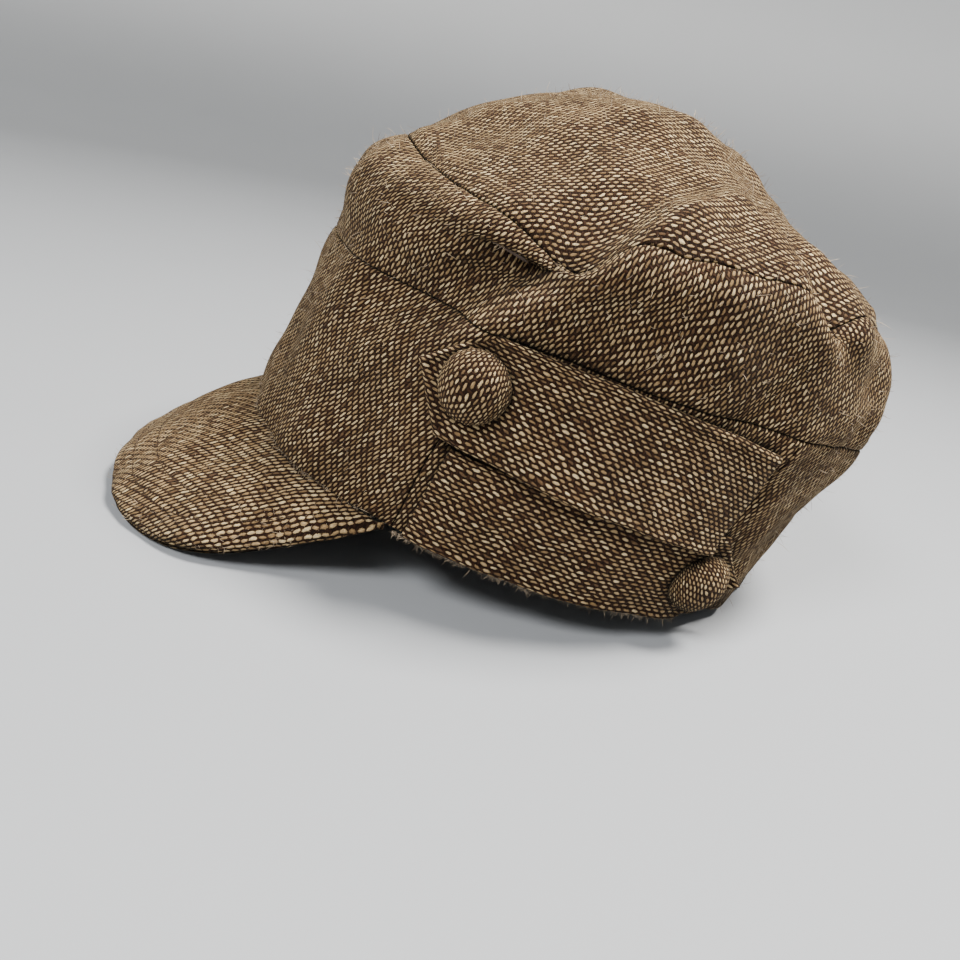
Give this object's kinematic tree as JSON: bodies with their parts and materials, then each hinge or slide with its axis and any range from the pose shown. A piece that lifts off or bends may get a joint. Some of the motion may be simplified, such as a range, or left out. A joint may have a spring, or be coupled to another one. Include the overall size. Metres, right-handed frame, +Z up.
{
  "type": "newsboy cap",
  "caption": "Newsboy cap with a panelled domed crown, a drooping stiffened visor, pointed side straps held by covered buttons, a lining and a sweatband.",
  "frame": {"origin": "middle of the outline on the table the cap lies on, at table height", "axes": "+Z up, -Y towards the visor, +X towards the wearer's left"},
  "size_m": [0.1982, 0.2705, 0.1632],
  "materials": {
    "crown_tweed": "hopsack tweed, cream flecks on dark brown, slightly hairy",
    "visor_tweed": "the same tweed cut with its rows running front to back",
    "strap_tweed": "the same tweed with its rows running along the strap",
    "button_tweed": "the same tweed drawn over a dome",
    "stay_cloth": "stiff non-woven",
    "lining_satin": "satin",
    "sweatband_twill": "fine twill",
    "label_cloth": "blank woven tape",
    "board_plastic": "matt sheet",
    "button_metal": "pressed",
    "brown_thread": "waxed sewing thread"
  },
  "bodies": {
    "cap": {"top_panel": "crown_tweed", "side_panel_left": "crown_tweed", "side_panel_right": "crown_tweed", "front_band": "crown_tweed", "side_band_left": "crown_tweed", "side_band_right": "crown_tweed", "back_band": "crown_tweed", "front_stay": "stay_cloth", "lining_top": "lining_satin", "lining_side_left": "lining_satin", "lining_side_right": "lining_satin", "sweatband": "sweatband_twill", "size_label": "label_cloth", "visor_top_cover": "visor_tweed", "visor_board": "board_plastic", "visor_under_cover": "visor_tweed", "upper_strap_face_left": "strap_tweed", "upper_strap_face_right": "strap_tweed", "upper_strap_backing_left": "strap_tweed", "upper_strap_backing_right": "strap_tweed", "lower_strap_face_left": "strap_tweed", "lower_strap_face_right": "strap_tweed", "lower_strap_backing_left": "strap_tweed", "lower_strap_backing_right": "strap_tweed", "button_thread_upper_left": "brown_thread", "button_thread_upper_right": "brown_thread", "button_thread_lower_left": "brown_thread", "button_thread_lower_right": "brown_thread"},
    "button_upper_left": {"button_cover_upper_left": "button_tweed", "button_shell_upper_left": "button_metal", "button_back_upper_left": "button_metal"},
    "button_upper_right": {"button_cover_upper_right": "button_tweed", "button_shell_upper_right": "button_metal", "button_back_upper_right": "button_metal"},
    "button_lower_left": {"button_cover_lower_left": "button_tweed", "button_shell_lower_left": "button_metal", "button_back_lower_left": "button_metal"},
    "button_lower_right": {"button_cover_lower_right": "button_tweed", "button_shell_lower_right": "button_metal", "button_back_lower_right": "button_metal"}
  },
  "joints": [
    {"name": "button_upper_left_swivel", "type": "hinge", "parent": "cap", "child": "button_upper_left", "pos_m": [0.08733, -0.01717, 0.07779], "axis": [0.9244, -0.368, 0.1002], "range_deg": [-45, 45]},
    {"name": "button_upper_right_swivel", "type": "hinge", "parent": "cap", "child": "button_upper_right", "pos_m": [-0.08733, -0.01717, 0.07779], "axis": [-0.9244, -0.368, 0.1002], "range_deg": [-45, 45]},
    {"name": "button_lower_left_swivel", "type": "hinge", "parent": "cap", "child": "button_lower_left", "pos_m": [0.07761, 0.06692, 0.02507], "axis": [0.8893, 0.3967, -0.2276], "range_deg": [-45, 45]},
    {"name": "button_lower_right_swivel", "type": "hinge", "parent": "cap", "child": "button_lower_right", "pos_m": [-0.07761, 0.06692, 0.02507], "axis": [-0.8893, 0.3967, -0.2276], "range_deg": [-45, 45]}
  ]
}
